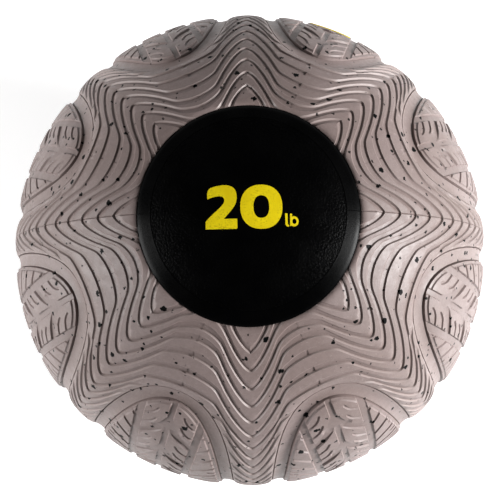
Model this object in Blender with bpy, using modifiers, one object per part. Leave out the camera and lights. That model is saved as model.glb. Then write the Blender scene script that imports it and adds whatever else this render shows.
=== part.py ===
"""Rubber medicine ball, 280 mm across: tread cover in two halves, two caps, weighted carcass, bladder and valve.

Units are metres. The origin is the ball's centre and +Z runs through the middle of the front cap. Azimuth is
measured from +X towards +Y. The cover's mould parting plane is Y = 0, and the valve points along +Y.
"""
import math

import bmesh
import bpy
from mathutils import Matrix, Vector

# Overall sizes
BALL_RADIUS = 0.140
GAP = 0.0003
BOND_LINE = 0.0010

# Cover
COVER_WALL = 0.008
CAP_OPENING = math.radians(20.7)
SECTORS = 8
COLUMN_OFFSETS = (0, 5.7, 9.5, 15.0, 22.5, 30.0, 35.5, 39.3)
ROWS_ABOVE_PADS = (20.8, 29.0)
ROWS_ACROSS_PADS = (44, 49, 55, 62, 71, 80)

# Pads: each is an oval on the cover, long axis along a meridian, centred on the equator
PAD_HALF_WIDTH = math.radians(15.1)
PAD_HALF_LENGTH = math.radians(50.0)
CHANNEL_WIDTH = math.radians(2.95)
CHANNEL_DEPTH = 0.0029
RIM_DROP = 0.0012
OUTER_EDGE_DROP = 0.0021
SHOULDER_WIDTH = math.radians(3.2)
STAR_ROUNDING = math.radians(1.2)

# Caps
CAP_RADIUS = BALL_RADIUS - 0.0010
CAP_EDGE_BEVEL = 0.0012

# Weight marking: ink films over the front cap. Its places are measured from the pole, right and up.
FILM_THICKNESS = 0.0004
FILM_BOTTOM = BALL_RADIUS - 0.0005
ZERO_CENTRE = (0.0048, 0.0012)
ZERO_OUTER = (0.0095, 0.0101)
ZERO_INNER = (0.0035, 0.0050)
ZERO_ROUNDNESS = 2.6
TWO_LEFT = -0.0204
TWO_RIGHT = -0.0059
TWO_BASE = -0.0088
TWO_BAR_TOP = -0.0042
TWO_BOWL_CENTRE = (-0.0133, 0.0047)
TWO_BOWL_OUTER = (0.0069, 0.0062)
TWO_BOWL_INNER = (0.0013, 0.0014)
TWO_TERMINAL = (0.0090, 0.0049)
LETTER_BASE = -0.0079
LETTER_HEIGHT = 0.0060
LETTER_STROKE = 0.0016
LETTER_L_LEFT = 0.0155
LETTER_B_LEFT = 0.0179
LETTER_BOWL = 0.0021

# Blank marking over the middle of one pad
MARK_AZIMUTH = math.radians(67.5)
MARK_HALF_WIDTH = math.radians(5.0)
MARK_HALF_LENGTH = math.radians(29.0)
MARK_BOTTOM = BALL_RADIUS + GAP

# Carcass and bladder
CORE_OUTER = BALL_RADIUS - COVER_WALL - BOND_LINE
CORE_INNER = 0.1060
BLADDER_OUTER = CORE_INNER - BOND_LINE
BLADDER_WALL = 0.0017

# Valve, turned about the +Y axis
HOUSING_RADIUS = 0.0066
HOUSING_TOP = BALL_RADIUS - 0.0008
FLANGE_RADIUS = 0.0140
FLANGE_TOP = BLADDER_OUTER - BLADDER_WALL - 0.0018
FLANGE_THICKNESS = 0.0022
SEAT_RADIUS = 0.0042
SEAT_DEPTH = 0.0020
BORE_RADIUS = 0.0030
BORE_LENGTH = 0.0270
NEEDLE_RADIUS = 0.0008
PLUG_LENGTH = 0.0240
PLUG_TIP = 0.0020

FINE_STEPS = 32
COARSE_STEPS = 24


# ---------------------------------------------------------------------------
# Helpers
# ---------------------------------------------------------------------------


def clear_scene():
    for old in list(bpy.data.objects):
        bpy.data.objects.remove(old)


def new_collection(name):
    collection = bpy.data.collections.new(name)
    bpy.context.scene.collection.children.link(collection)
    return collection


def make_material(name, colour, roughness):
    material = bpy.data.materials.new(name)
    material.use_nodes = True
    shader = material.node_tree.nodes["Principled BSDF"]
    shader.inputs["Base Color"].default_value = (*colour, 1.0)
    shader.inputs["Roughness"].default_value = roughness
    shader.inputs["Metallic"].default_value = 0.0
    return material


def add_object(name, data, material, collection):
    obj = bpy.data.objects.new(name, data)
    obj.data.materials.append(material)
    collection.objects.link(obj)
    return obj


def mesh_object(name, shape, material, collection):
    """An object from a finished bmesh, with its normals pointing out and its round faces shaded smooth."""
    bmesh.ops.recalc_face_normals(shape, faces=shape.faces)
    data = bpy.data.meshes.new(name)
    shape.to_mesh(data)
    shape.free()
    data.shade_smooth()
    data.set_sharp_from_angle(angle=math.radians(40))
    return add_object(name, data, material, collection)


def on_ball(radius, polar, azimuth):
    flat = radius * math.sin(polar)
    return Vector((flat * math.cos(azimuth), flat * math.sin(azimuth), radius * math.cos(polar)))


def ball_arc(radius, start, end, steps):
    """(distance from the axis, height) points on a circle about the origin, by angle from the axis."""
    angles = [start + (end - start) * i / steps for i in range(steps + 1)]
    return [(radius * math.sin(a), radius * math.cos(a)) for a in angles]


# ---------------------------------------------------------------------------
# Cover
# ---------------------------------------------------------------------------


def pad_distance(polar, azimuth):
    """Angle from the nearest pad's rim to this direction: positive outside the pad, negative on it."""
    sector = 2 * math.pi / SECTORS
    offset = azimuth % sector - sector / 2
    across = math.asin(math.sin(polar) * math.sin(offset))
    along = math.atan2(math.cos(polar), math.sin(polar) * math.cos(offset))
    level = math.hypot(across / PAD_HALF_WIDTH, along / PAD_HALF_LENGTH)
    slope = math.hypot(across / PAD_HALF_WIDTH**2, along / PAD_HALF_LENGTH**2)
    return (level - 1) * level / slope if slope else -PAD_HALF_WIDTH


def cover_radius(polar, azimuth):
    """The ball's crest, lowered at each pad's shoulder, in the channel round it and at the star's edges."""
    distance = pad_distance(polar, azimuth)
    if distance < 0:
        near_rim = max(0.0, 1 + distance / SHOULDER_WIDTH)
        return BALL_RADIUS - RIM_DROP * near_rim**2
    if distance < CHANNEL_WIDTH:
        across = distance / CHANNEL_WIDTH
        edge = RIM_DROP + (OUTER_EDGE_DROP - RIM_DROP) * across
        bowl = (CHANNEL_DEPTH - (RIM_DROP + OUTER_EDGE_DROP) / 2) * 4 * across * (1 - across)
        return BALL_RADIUS - edge - bowl
    return BALL_RADIUS - OUTER_EDGE_DROP * math.exp(-(distance - CHANNEL_WIDTH) / STAR_ROUNDING)


def cover_rows():
    """Polar angles of the cover's rows, from the front opening to the back one."""
    rim_top = math.pi / 2 - PAD_HALF_LENGTH
    channel_top = rim_top - CHANNEL_WIDTH
    front = [math.radians(angle) for angle in ROWS_ABOVE_PADS]
    front += [channel_top, (channel_top + rim_top) / 2, rim_top]
    front += [math.radians(angle) for angle in ROWS_ACROSS_PADS]
    return front + [math.pi / 2] + [math.pi - polar for polar in reversed(front)]


def cover_columns():
    """Azimuths of one half's columns, from 0 to half a turn, closest together across the channels."""
    starts = [math.radians(360 / SECTORS) * i for i in range(SECTORS // 2)]
    return [start + math.radians(offset) for start in starts for offset in COLUMN_OFFSETS] + [math.pi]


def make_cover_half(name, side, material, collection):
    """Half of the cover: the outer skin follows cover_radius, the inner one is round. side is +1 or -1 along Y."""
    shape = bmesh.new()
    rows = cover_rows()
    columns = cover_columns()

    def skin(radius_at):
        points = [[on_ball(radius_at(row, side * column), row, side * column) for column in columns] for row in rows]
        for line in points:
            line[0].y = line[-1].y = side * GAP / 2
        return [[shape.verts.new(point) for point in line] for line in points]

    outer = skin(cover_radius)
    inner = skin(lambda polar, azimuth: BALL_RADIUS - COVER_WALL)
    for grid in (outer, inner):
        for upper, lower in zip(grid, grid[1:]):
            bridge(shape, upper, lower)
    for end in (0, -1):
        bridge(shape, outer[end], inner[end])
        bridge(shape, [line[end] for line in outer], [line[end] for line in inner])
    return mesh_object(name, shape, material, collection)


def bridge(shape, first, second):
    """Fills the strip between two lines of vertices with quads."""
    for i in range(len(first) - 1):
        shape.faces.new((first[i], first[i + 1], second[i + 1], second[i]))


def cut_valve_hole(cover_half, cutters):
    """Bores the cover for the valve housing, along +Y."""
    shape = bmesh.new()
    radius = HOUSING_RADIUS + GAP
    bmesh.ops.create_cone(
        shape, cap_ends=True, segments=FINE_STEPS, radius1=radius, radius2=radius, depth=4 * COVER_WALL
    )
    data = bpy.data.meshes.new("valve_hole_cutter")
    shape.to_mesh(data)
    shape.free()
    cutter = bpy.data.objects.new("valve_hole_cutter", data)
    cutters.objects.link(cutter)
    cutter.location = (0, BALL_RADIUS - COVER_WALL / 2, 0)
    cutter.rotation_euler = (-math.pi / 2, 0, 0)
    cutter.hide_render = True
    cutter.display_type = "WIRE"
    cut = cover_half.modifiers.new("valve_hole", "BOOLEAN")
    cut.operation = "DIFFERENCE"
    cut.solver = "EXACT"
    cut.object = cutter


# ---------------------------------------------------------------------------
# Turned pieces
# ---------------------------------------------------------------------------

UPRIGHT = Matrix.Identity(4)
UPSIDE_DOWN = Matrix.Rotation(math.pi, 4, "X")
ALONG_PLUS_Y = Matrix.Rotation(-math.pi / 2, 4, "X")
ALONG_MINUS_Y = Matrix.Rotation(math.pi / 2, 4, "X")


def make_turned(name, profile, matrix, steps, material, collection):
    """Turns a closed outline of (distance from the axis, height) about Z, then places it by a matrix."""
    loop = [(i, (i + 1) % len(profile)) for i in range(len(profile))]
    on_axis = [distance < GAP / 100 for distance, height in profile]
    edges = [(a, b) for a, b in loop if not (on_axis[a] and on_axis[b])]
    data = bpy.data.meshes.new(name)
    data.from_pydata([(distance, 0.0, height) for distance, height in profile], edges, [])
    turned = add_object(name, data, material, collection)
    turned.matrix_world = matrix
    screw = turned.modifiers.new("turn", "SCREW")
    screw.axis = "Z"
    screw.angle = 2 * math.pi
    screw.steps = steps
    screw.render_steps = steps
    screw.use_merge_vertices = True
    screw.merge_threshold = GAP / 100
    screw.use_smooth_shade = True
    return turned


def make_cap(name, matrix, material, collection):
    """A domed disc that fills a polar opening of the cover, with its top edge turned down."""
    half_angle = CAP_OPENING - GAP / BALL_RADIUS
    profile = ball_arc(CAP_RADIUS, 0, half_angle - CAP_EDGE_BEVEL / CAP_RADIUS, 6)
    profile += ball_arc(CAP_RADIUS - CAP_EDGE_BEVEL, half_angle, half_angle, 1)[:1]
    profile += ball_arc(BALL_RADIUS - COVER_WALL, half_angle, 0, 4)
    return make_turned(name, profile, matrix, FINE_STEPS, material, collection)


def make_core_half(name, matrix, bore, material, collection):
    """Half of the carcass: a thick bowl that opens at the parting plane. bore is 0 where it has no hole."""
    rim = GAP / 2
    profile = ball_arc(CORE_OUTER, math.asin(bore / CORE_OUTER), math.acos(rim / CORE_OUTER), 9)
    profile += ball_arc(CORE_INNER, math.acos(rim / CORE_INNER), math.asin(bore / CORE_INNER), 9)
    return make_turned(name, profile, matrix, COARSE_STEPS, material, collection)


def make_bladder(material, collection):
    """A thin ball that opens at the valve."""
    hole = HOUSING_RADIUS + GAP
    inner = BLADDER_OUTER - BLADDER_WALL
    profile = ball_arc(BLADDER_OUTER, math.asin(hole / BLADDER_OUTER), math.pi, 18)
    profile += ball_arc(inner, math.pi, math.asin(hole / inner), 18)
    return make_turned("bladder", profile, ALONG_PLUS_Y, COARSE_STEPS, material, collection)


def make_valve_housing(material, collection):
    """A stepped sleeve with an inner flange, a bore for the plug and a needle passage below it."""
    flange_bottom = FLANGE_TOP - FLANGE_THICKNESS
    seat_floor = HOUSING_TOP - SEAT_DEPTH
    bore_floor = seat_floor - BORE_LENGTH
    profile = [
        (SEAT_RADIUS, HOUSING_TOP),
        (HOUSING_RADIUS, HOUSING_TOP),
        (HOUSING_RADIUS, FLANGE_TOP),
        (FLANGE_RADIUS, FLANGE_TOP),
        (FLANGE_RADIUS, flange_bottom),
        (NEEDLE_RADIUS, flange_bottom),
        (NEEDLE_RADIUS, bore_floor),
        (BORE_RADIUS, bore_floor),
        (BORE_RADIUS, seat_floor),
        (SEAT_RADIUS, seat_floor),
    ]
    return make_turned("valve_housing", profile, ALONG_PLUS_Y, FINE_STEPS, material, collection)


def make_valve_core(material, collection):
    """The self-sealing plug: a head in the housing's seat and a stem with a tapered tip in its bore."""
    head_bottom = HOUSING_TOP - SEAT_DEPTH + GAP
    stem_radius = BORE_RADIUS - GAP
    tip_start = head_bottom - PLUG_LENGTH
    profile = [
        (0, HOUSING_TOP),
        (SEAT_RADIUS - GAP, HOUSING_TOP),
        (SEAT_RADIUS - GAP, head_bottom),
        (stem_radius, head_bottom),
        (stem_radius, tip_start),
        (stem_radius / 2, tip_start - PLUG_TIP),
        (0, tip_start - PLUG_TIP),
    ]
    return make_turned("valve_core", profile, ALONG_PLUS_Y, FINE_STEPS, material, collection)


# ---------------------------------------------------------------------------
# Markings
# ---------------------------------------------------------------------------


def ellipse_points(centre, radii, start, end, steps, roundness=2.0):
    """Points on a superellipse from one angle in degrees to another. A roundness of 2 is a true ellipse."""
    points = []
    for i in range(steps + 1):
        angle = math.radians(start + (end - start) * i / steps)
        cosine = math.cos(angle)
        sine = math.sin(angle)
        x = math.copysign(abs(cosine) ** (2 / roundness), cosine)
        y = math.copysign(abs(sine) ** (2 / roundness), sine)
        points.append((centre[0] + radii[0] * x, centre[1] + radii[1] * y))
    return points


def zero_outlines():
    outer = ellipse_points(ZERO_CENTRE, ZERO_OUTER, 0, 360, 28, ZERO_ROUNDNESS)[:-1]
    inner = ellipse_points(ZERO_CENTRE, ZERO_INNER, 360, 0, 20, ZERO_ROUNDNESS)[:-1]
    return [outer, inner]


def two_outlines():
    """A bowl that turns into a diagonal, over a straight bar."""
    terminal_top, terminal_bottom = TWO_TERMINAL
    bar_rise = TWO_BAR_TOP - TWO_BASE
    outline = [(TWO_LEFT, terminal_bottom), (TWO_LEFT, terminal_top)]
    outline += ellipse_points(TWO_BOWL_CENTRE, TWO_BOWL_OUTER, 120, -40, 9)
    outline += [(TWO_RIGHT - bar_rise * 1.4, TWO_BAR_TOP), (TWO_RIGHT, TWO_BAR_TOP)]
    outline += [(TWO_RIGHT, TWO_BASE), (TWO_LEFT, TWO_BASE), (TWO_LEFT, TWO_BASE + bar_rise / 2)]
    outline += ellipse_points(TWO_BOWL_CENTRE, TWO_BOWL_INNER, -40, 120, 6)
    return [outline]


def letter_l_outlines():
    left, base = LETTER_L_LEFT, LETTER_BASE
    right, top = left + LETTER_STROKE, base + LETTER_HEIGHT
    return [[(left, base), (right, base), (right, top), (left, top)]]


def letter_b_outlines():
    """A stem with a round bowl on its right."""
    stem_right = LETTER_B_LEFT + LETTER_STROKE
    centre = (stem_right, LETTER_BASE + LETTER_BOWL)
    bowl = (LETTER_BOWL, LETTER_BOWL)
    counter = LETTER_BOWL - LETTER_STROKE / 2
    outer = [(LETTER_B_LEFT, LETTER_BASE)] + ellipse_points(centre, bowl, -90, 90, 8)
    outer += [(stem_right, LETTER_BASE + LETTER_HEIGHT), (LETTER_B_LEFT, LETTER_BASE + LETTER_HEIGHT)]
    return [outer, ellipse_points(centre, (counter, counter), 90, -90, 6)]


def make_film(name, outlines, material, collection):
    """A flat outline extruded to the film's thickness, then wrapped on the front cap's dome."""
    curve = bpy.data.curves.new(name + "_outline", "CURVE")
    curve.dimensions = "2D"
    curve.fill_mode = "BOTH"
    curve.extrude = FILM_THICKNESS / 2
    for outline in outlines:
        spline = curve.splines.new("POLY")
        spline.points.add(len(outline) - 1)
        for point, (x, y) in zip(spline.points, outline):
            point.co = (x, y, 0, 1)
        spline.use_cyclic_u = True
    guide = bpy.data.objects.new(name + "_outline", curve)
    collection.objects.link(guide)
    graph = bpy.context.evaluated_depsgraph_get()
    flat = bpy.data.meshes.new_from_object(guide.evaluated_get(graph))
    bpy.data.objects.remove(guide)
    shape = bmesh.new()
    shape.from_mesh(flat)
    bpy.data.meshes.remove(flat)
    bmesh.ops.remove_doubles(shape, verts=shape.verts, dist=GAP / 100)
    for vertex in shape.verts:
        radius = FILM_BOTTOM + FILM_THICKNESS / 2 + vertex.co.z
        vertex.co.z = math.sqrt(radius**2 - vertex.co.x**2 - vertex.co.y**2)
    return mesh_object(name, shape, material, collection)


def make_pad_marking(material, collection):
    """A blank oblong film over the middle of one pad, long side along the meridian."""
    shape = bmesh.new()
    bmesh.ops.create_grid(shape, x_segments=3, y_segments=12, size=1)
    for vertex in shape.verts:
        azimuth = MARK_AZIMUTH + MARK_HALF_WIDTH * vertex.co.x
        polar = math.pi / 2 - MARK_HALF_LENGTH * vertex.co.y
        vertex.co = on_ball(MARK_BOTTOM, polar, azimuth)
    marking = mesh_object("pad_marking", shape, material, collection)
    thicken = marking.modifiers.new("film", "SOLIDIFY")
    thicken.thickness = FILM_THICKNESS
    thicken.offset = 1.0
    return marking


# ---------------------------------------------------------------------------
# Assembly
# ---------------------------------------------------------------------------


def build():
    clear_scene()
    parts = new_collection("medicine_ball")
    cutters = new_collection("cutters")
    cover = make_material("cover_rubber", (0.32, 0.26, 0.25), 0.55)
    cap = make_material("cap_rubber", (0.012, 0.012, 0.013), 0.5)
    core = make_material("core_rubber", (0.02, 0.02, 0.02), 0.8)
    butyl = make_material("bladder_rubber", (0.03, 0.03, 0.035), 0.45)
    valve = make_material("valve_rubber", (0.015, 0.015, 0.016), 0.6)
    ink = make_material("marking_yellow", (0.80, 0.58, 0.02), 0.5)

    make_cover_half("cover_half_near", -1, cover, parts)
    cut_valve_hole(make_cover_half("cover_half_far", 1, cover, parts), cutters)
    make_cap("cap_front", UPRIGHT, cap, parts)
    make_cap("cap_back", UPSIDE_DOWN, cap, parts)
    make_film("digit_two", two_outlines(), ink, parts)
    make_film("digit_zero", zero_outlines(), ink, parts)
    make_film("letter_l", letter_l_outlines(), ink, parts)
    make_film("letter_b", letter_b_outlines(), ink, parts)
    make_pad_marking(ink, parts)
    make_core_half("core_half_near", ALONG_MINUS_Y, 0, core, parts)
    make_core_half("core_half_far", ALONG_PLUS_Y, HOUSING_RADIUS + GAP, core, parts)
    make_bladder(butyl, parts)
    make_valve_housing(valve, parts)
    make_valve_core(valve, parts)


build()
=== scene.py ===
"""Looks of the rubber medicine ball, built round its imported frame.

Lengths are metres and angles are degrees. The ball's centre is the origin and +Z runs through the front cap.
Polar angle is measured from +Z, azimuth from +X towards +Y. The cover carries an eight-pointed star round
each cap. Its tips point along azimuths 0, 45, 90 and so on, with an oval tread pad between each pair of tips.
"""

import math

import bmesh
import bpy
import numpy as np
from mathutils import Matrix, Vector
from mathutils.geometry import delaunay_2d_cdt
from mathutils.kdtree import KDTree


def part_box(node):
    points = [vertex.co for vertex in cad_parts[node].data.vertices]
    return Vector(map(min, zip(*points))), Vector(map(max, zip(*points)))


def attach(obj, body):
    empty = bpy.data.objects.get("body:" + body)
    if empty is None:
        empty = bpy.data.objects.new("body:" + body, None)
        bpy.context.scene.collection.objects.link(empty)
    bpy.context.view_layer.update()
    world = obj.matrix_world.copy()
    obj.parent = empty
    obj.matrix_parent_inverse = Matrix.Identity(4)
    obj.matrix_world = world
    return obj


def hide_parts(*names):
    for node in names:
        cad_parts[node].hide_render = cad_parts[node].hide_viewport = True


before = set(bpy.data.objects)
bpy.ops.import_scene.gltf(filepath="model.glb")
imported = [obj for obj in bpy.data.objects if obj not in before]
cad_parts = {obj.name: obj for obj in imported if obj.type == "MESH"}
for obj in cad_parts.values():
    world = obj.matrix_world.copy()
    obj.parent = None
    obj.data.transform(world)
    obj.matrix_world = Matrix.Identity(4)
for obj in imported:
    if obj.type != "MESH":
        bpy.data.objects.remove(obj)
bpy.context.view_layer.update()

# Sizes taken from the frame
BALL_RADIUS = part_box("cover_half_near")[1].x
CAP_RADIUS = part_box("cap_front")[1].z
HOUSING_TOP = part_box("valve_housing")[1].y
PLUG_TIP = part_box("valve_core")[0].y
FLOOR_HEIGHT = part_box("cap_back")[0].z

# Cover
SECTORS = 8
SECTOR = 360 / SECTORS
HALF_SECTOR = SECTOR / 2
COVER_WALL = 0.008
CAP_OPENING = 20.85
SEAM_GAP = 0.00005
PARTING_DROP = 0.00028
PARTING_WIDTH = 0.16
OPENING_DROP = 0.0010
OPENING_ROUNDING = 0.35

# Contour grooves of the star, counted from the cap outwards, each with a soft start and a steep outer wall
GROOVES = 16
LOWER_GROOVES = 5
LOWER_NARROWING = 0.25
FIRST_TIP = 25.3
TIP_STEP = 4.06
ARCH_TOPS = (18.0, 20.3, 23.0, 25.4, 28.7, 32.4, 35.8)
ARCH_STEP = 3.5
ARCH_BEND = 0.0145
ARM_SLOPE = 1.766
ARM_BEND = 0.006
STEEPEST_ARM = 2.25
ARM_STEEPENING = 0.30
TIP_ROUNDING = 1.42
GROOVE_WALL = 0.24
GROOVE_DEPTH = 0.00085
GROOVE_DEPTH_AT_ARCH = 0.00078
START_SHARE = 0.55
START_WIDTH = 0.22
SLOPE_SHAPE_AT_TIP = 1.3
GROOVE_FADE = 1.3
GROOVE_AT_CHANNEL = 0.25
# Painted shade in each groove, growing with its depth
GROOVE_SHADE = 0.55
# Painted highlight along each groove's steep outer wall: its strength and how far it reaches
WALL_HIGHLIGHT_STRENGTH = 0.8
WALL_HIGHLIGHT_REACH = 0.07
GROOVE_WIDTH = 1.02
GROOVE_WIDTH_AT_ARCH = 1.50
GROOVE_WIDTH_AT_TIP = 1.40
TIP_WIDENING_REACH = 2.2
TIP_SLOPE_REACH = 3
ARCH_DEPTH_BLEND = (9, 5)
ARCH_WIDTH_BLEND = (10, 9)

# Valve, on the equator along +Y
VALVE_TIP = 2
VALVE_HOLE = 2.85
VALVE_LAND = 3.45
LAND_BLEND = 0.5

# Pads and the channel round them
PAD_HALF_WIDTH = 15.35
PAD_HALF_LENGTH = 49.7
CHANNEL_WIDTH = 2.95
CHANNEL_GAP = 0.04
CHANNEL_INNER_DROP = 0.0023
CHANNEL_OUTER_DROP = 0.0019
CHANNEL_MIDDLE_DROP = 0.0027
CREASE_DROP = 0.0009
CREASE_HALF_WIDTH = 0.13
CREASE_SHADE = 0.5
PAD_EDGE_WIDTH = 0.15
STAR_EDGE_DROP = 0.0017
STAR_EDGE_ROUNDING = 1.25
SHOULDER_WIDTH = 3.2
SHOULDER_DROP = 0.0007

# Tread
TREAD_WALL = 0.22
TREAD_DEPTH = 0.0010
TREAD_SHADE = 0.45
SIPE_DEPTH = 0.0007
LEDGE = 0.55
LEDGE_DEPTH = 0.0006
MIDDLE_CHANNEL = 0.72
SIDE_CHANNEL = 6.15
SIDE_CHANNEL_HALF_WIDTH = 0.95
CHEVRON = ((0.0, 44.6), (0.8, 42.9), (1.9, 40.6), (3.3, 39.2), (5.3, 37.4), (6.1, 36.7))
CHEVRON_HALF_WIDTH = 0.95
CHEVRON_STEP = 10.3
CHEVRONS = 4
SIPE = ((6.0, -0.2), (4.8, 0.45), (3.6, 1.3), (3.0, 2.1), (2.6, 3.0))
SIPE_HALF_WIDTH = 0.33
SIPE_RISES = (3.3, 6.4)
SHOULDER_SIPE = ((6.6, -0.5), (9.2, 2.1), (17.0, 8.2))
SHOULDER_SIPE_TOP = 41.8
SHOULDER_SIPE_HALF_WIDTH = 0.40
SHORT_SIPE = ((10.6, 0.7), (11.6, 1.2), (17.0, 5.4))
CORNER_CUT = ((0.6, 37.2), (2.5, 38.1))
CORNER_CUT_HEIGHT = 3.2
CORNER_CUT_DROP = 0.0008
PANEL_HALF_WIDTH = 5.5
PANEL_HALF_LENGTH = 31.0
PANEL_PAD = 1
FILM_HALF_SIZE = (5.0, 29.0)
FILM_CORNER = 1.2

# Caps
CAP_DOME = CAP_RADIUS + 0.0008
CAP_GRAIN_EDGE = 17.75
CAP_RING_EDGE = 20.1
CAP_GROOVE_HALF_WIDTH = 0.12
CAP_GROOVE_DROP = 0.00025
CAP_RING_DROP = 0.0006
CAP_EDGE_DROP = 0.0003
CAP_EDGE_SHAPE = 1.8
CAP_PARTING_HALF_WIDTH = 0.07
CAP_PARTING_DROP = 0.00014
CAP_SPACING = 0.30

# Weight marking, in millimetres right of the pole and above it. The ink's heights are metres off the cap.
ZERO_CENTRE = (5.5, 1.1)
ZERO_OUTER = (8.97, 9.55)
ZERO_INNER = (3.36, 4.88)
TWO_TOP = (
    (-17.6, 4.7), (-17.6, 9.0), (-14.2, 10.3), (-9.1, 10.9),
    (-5.6, 9.2), (-4.7, 5.1), (-5.9, 1.1), (-10.6, -4.0),
)
TWO_BAR = ((-4.8, -4.0), (-4.8, -8.3), (-18.3, -8.3))
TWO_BELLY = (
    (-18.3, -5.1), (-16.8, -3.3), (-11.7, 1.2), (-10.1, 3.4),
    (-10.6, 5.6), (-13.5, 6.0), (-17.6, 4.7),
)
L_OUTLINE = (
    (15.6, -1.9), (15.6, -6.4), (15.9, -7.2), (16.5, -7.6), (17.2, -7.5), (17.2, -6.8), (16.8, -6.75),
    (16.6, -6.4), (16.6, -1.9),
)
B_STEM = ((17.65, -7.5), (17.65, -1.9), (18.65, -2.2))
B_BOWL = ((19.3, -5.3), (2.0, 2.2))
B_COUNTER = ((19.5, -5.3), (0.9, 1.15))
INK_BOTTOM = -0.0001
INK_TOP = 0.00012
FILM_HEIGHTS = (-0.0002, 0.00025)

# Valve
FLANGE_THICKNESS = 0.0022
FLANGE_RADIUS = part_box("valve_housing")[1].x
HOUSING_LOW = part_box("valve_housing")[0].y
HOUSING_RADIUS = 0.0066
SEAT_RADIUS = 0.0042
SEAT_DEPTH = 0.0020
BORE_RADIUS = 0.0030
BORE_LENGTH = 0.0270
NEEDLE_RADIUS = 0.0008
PLUG_CLEARANCE = 0.0003
ALONG_PLUS_Y = Matrix.Rotation(-math.pi / 2, 4, "X")

# Rubber granules: size of the cells that may hold one, share of cells that do, radii and raggedness
LARGE_FLECKS = (0.0068, 0.85, 0.0006, 0.0014, 0.0022)
SMALL_FLECKS = (0.0046, 0.65, 0.0003, 0.0008, 0.0014)

# Colours
COVER_TONES = ((0.215, 0.160, 0.147, 1), (0.255, 0.196, 0.186, 1))
COVER_SPECKLE = (0.165, 0.120, 0.110, 1)
COVER_PALE_GRAIN = (0.36, 0.30, 0.29, 1)
# Painted shade laid into grooves, tread cuts and channel creases
PAINTED_RELIEF_SHADE = (0.110, 0.078, 0.072, 1)
# Painted highlight colour for the grooves' steep outer walls
PAINTED_WALL_HIGHLIGHT = (0.40, 0.33, 0.31, 1)
FLECK_TONES = ((0.0015, 0.0015, 0.0015, 1), (0.003, 0.004, 0.004, 1))
CAP_TONES = ((0.0006, 0.0006, 0.0007, 1), (0.0010, 0.0010, 0.0011, 1))
CAP_PALE_GRAIN = (0.004, 0.004, 0.004, 1)
INK_TONES = ((0.76, 0.58, 0.004, 1), (0.88, 0.70, 0.006, 1))
INK_WORN = (0.16, 0.12, 0.004, 1)
FLOOR_TONES = ((0.90, 0.90, 0.90, 1), (0.92, 0.92, 0.92, 1))
VALVE_TONES = ((0.012, 0.012, 0.012, 1), (0.020, 0.019, 0.019, 1))
CORE_TONES = ((0.055, 0.052, 0.050, 1), (0.085, 0.080, 0.077, 1))
BLADDER_TONES = ((0.020, 0.018, 0.018, 1), (0.032, 0.029, 0.028, 1))

# Mesh spacing
LINE_SPACING = 0.42
FILL_SPACING = 1.0

# Lights: azimuth, elevation, distance, size and power. The room fades from its walls to its ceiling.
RIGHT_BOX = (-9, 23, 1.2, 0.38, 26)
LEFT_BOX = (190, 20, 1.2, 0.55, 13)
ROOM_FADE = (0.04, 0.40, 0.80, 0.04)
FLOOR_GLOW = 0.45
FLOOR_HALF_SIZE = 3.0
FLOOR_GAP = 0.0004

# Camera
CAMERA_DISTANCE = 3.0
CAMERA_TILT = 6.155
CAMERA_ROLL = 2.243
CAMERA_TURN = -1.436
CAMERA_PITCH = 4.0
CAMERA_LENS = 47.64
CAMERA_SHIFT = (0.0003, -0.1036)


# ---------------------------------------------------------------------------
# Angles in degrees
# ---------------------------------------------------------------------------


def sin(angle):
    return np.sin(np.radians(angle))


def cos(angle):
    return np.cos(np.radians(angle))


def on_ball(radius, polar, azimuth):
    flat = radius * sin(polar)
    return np.stack([flat * cos(azimuth), flat * sin(azimuth), radius * cos(polar)], -1)


def smooth_step(value):
    value = np.clip(value, 0, 1)
    return value * value * (3 - 2 * value)


# ---------------------------------------------------------------------------
# Meshes
# ---------------------------------------------------------------------------


def spaced(line, spacing=LINE_SPACING):
    """The same line with its points an even spacing apart."""
    line = np.asarray(line, float)
    reach = np.concatenate([[0], np.cumsum(np.hypot(*np.diff(line, axis=0).T))])
    stops = np.linspace(0, reach[-1], max(2, int(reach[-1] / spacing) + 2))
    return np.stack([np.interp(stops, reach, line[:, axis]) for axis in (0, 1)], -1)


def triangulate(lines, inside, fill_spacing=FILL_SPACING):
    """Cuts a flat region into triangles whose edges follow the lines. inside says which points are in it."""
    edges = []
    start = 0
    for line in lines:
        edges += [(start + i, start + i + 1) for i in range(len(line) - 1)]
        start += len(line)
    points = np.concatenate(lines)
    tree = KDTree(len(points))
    for index, point in enumerate(points):
        tree.insert((*point, 0), index)
    tree.balance()
    low, high = points.min(0), points.max(0)
    fill = []
    for row, y in enumerate(np.arange(low[1], high[1], fill_spacing * sin(60))):
        x = np.arange(low[0] + (row % 2) * fill_spacing / 2, high[0], fill_spacing)
        fill.append(np.stack([x, np.full_like(x, y)], -1))
    fill = np.concatenate(fill)
    fill = fill[inside(fill)]
    clear = [tree.find((*point, 0))[2] > 0.55 * fill_spacing for point in fill]
    points = np.concatenate([points, fill[np.array(clear, bool)]])
    made = delaunay_2d_cdt([Vector(point) for point in points], edges, [], 0, 1e-5)
    flat = np.array([tuple(point) for point in made[0]])
    faces = np.array([face for face in made[2] if len(face) == 3])
    faces = faces[inside(flat[faces].mean(1))]
    used, index = np.unique(faces, return_inverse=True)
    return flat[used], index.reshape(-1, 3)


def facing_out(points, faces):
    """Turns the faces so that they look away from the ball's centre."""
    a, b, c = (points[faces[:, i]] for i in range(3))
    outward = (np.cross(b - a, c - a) * (a + b + c)).sum(-1)
    return np.where(outward[:, None] < 0, faces[:, ::-1], faces)


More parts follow.
